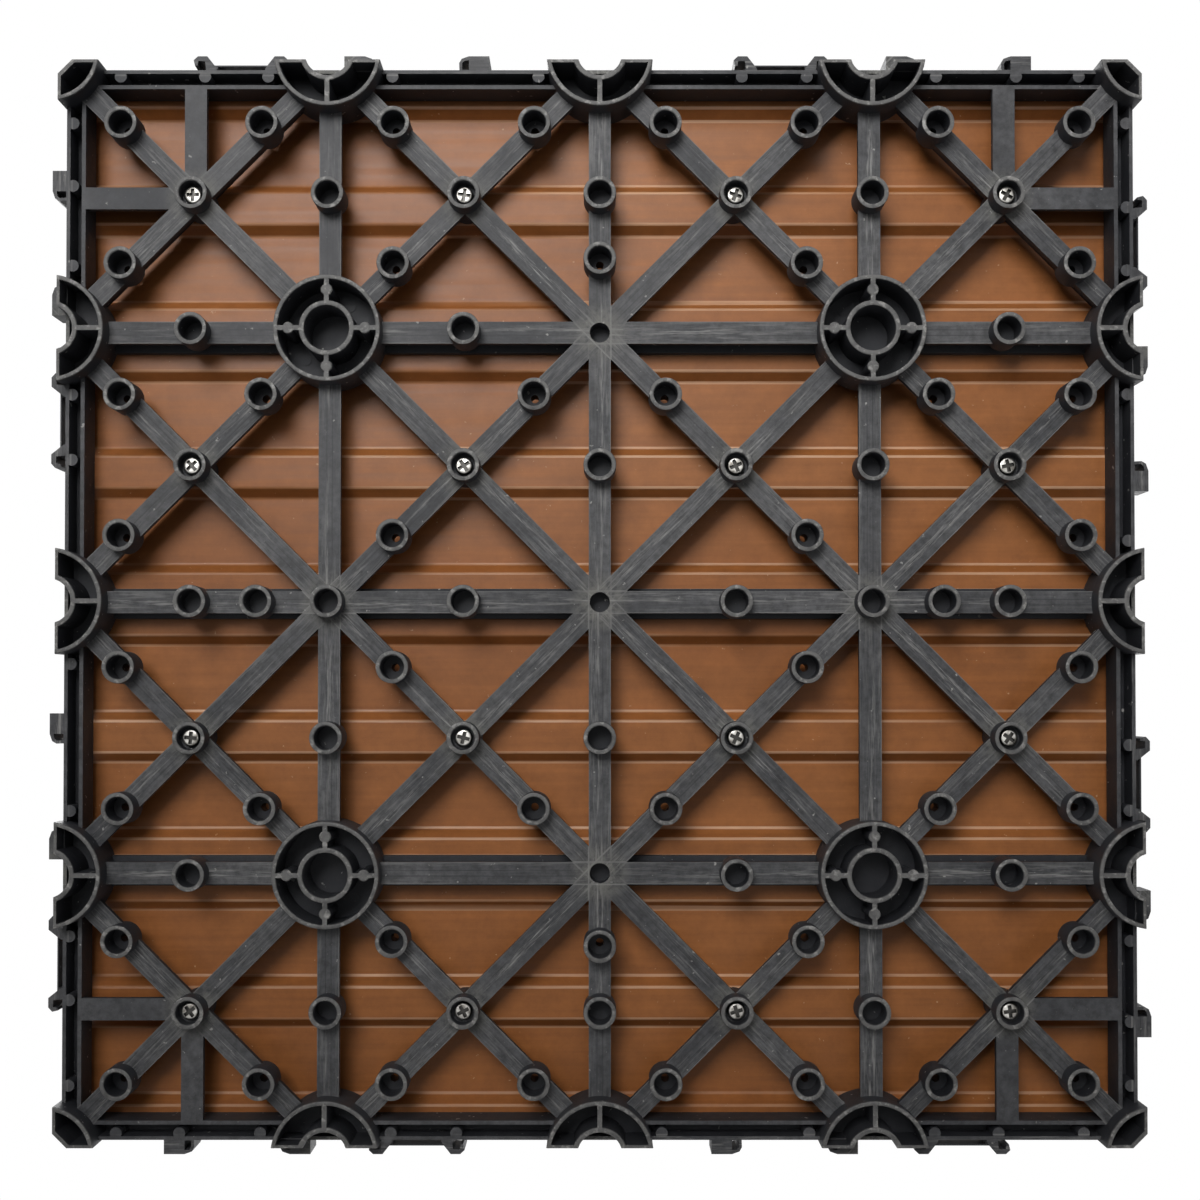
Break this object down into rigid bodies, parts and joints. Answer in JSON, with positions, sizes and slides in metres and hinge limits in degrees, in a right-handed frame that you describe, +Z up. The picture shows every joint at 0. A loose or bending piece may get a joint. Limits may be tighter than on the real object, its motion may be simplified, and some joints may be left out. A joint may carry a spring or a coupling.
{
  "type": "interlocking deck tile",
  "caption": "Square deck tile of composite boards screwed to a ribbed plastic base grid with round feet and edge clips.",
  "frame": {"origin": "on the ground below the middle of the tile", "axes": "+Z up through the walking surface, +X along the boards, +Y across them"},
  "size_m": [0.3046, 0.3046, 0.025],
  "materials": {
    "base_plastic": "moulded charcoal polypropylene, scuffed on its faces",
    "board_composite": "reddish brown board with fine lengthwise streaks, satin",
    "screw_steel": "bright zinc-plated steel"
  },
  "bodies": {
    "root": {"base_grid": "base_plastic", "deck_board_1": "board_composite", "deck_board_2": "board_composite", "deck_board_3": "board_composite", "deck_board_4": "board_composite", "board_screws": "screw_steel"}
  },
  "joints": []
}
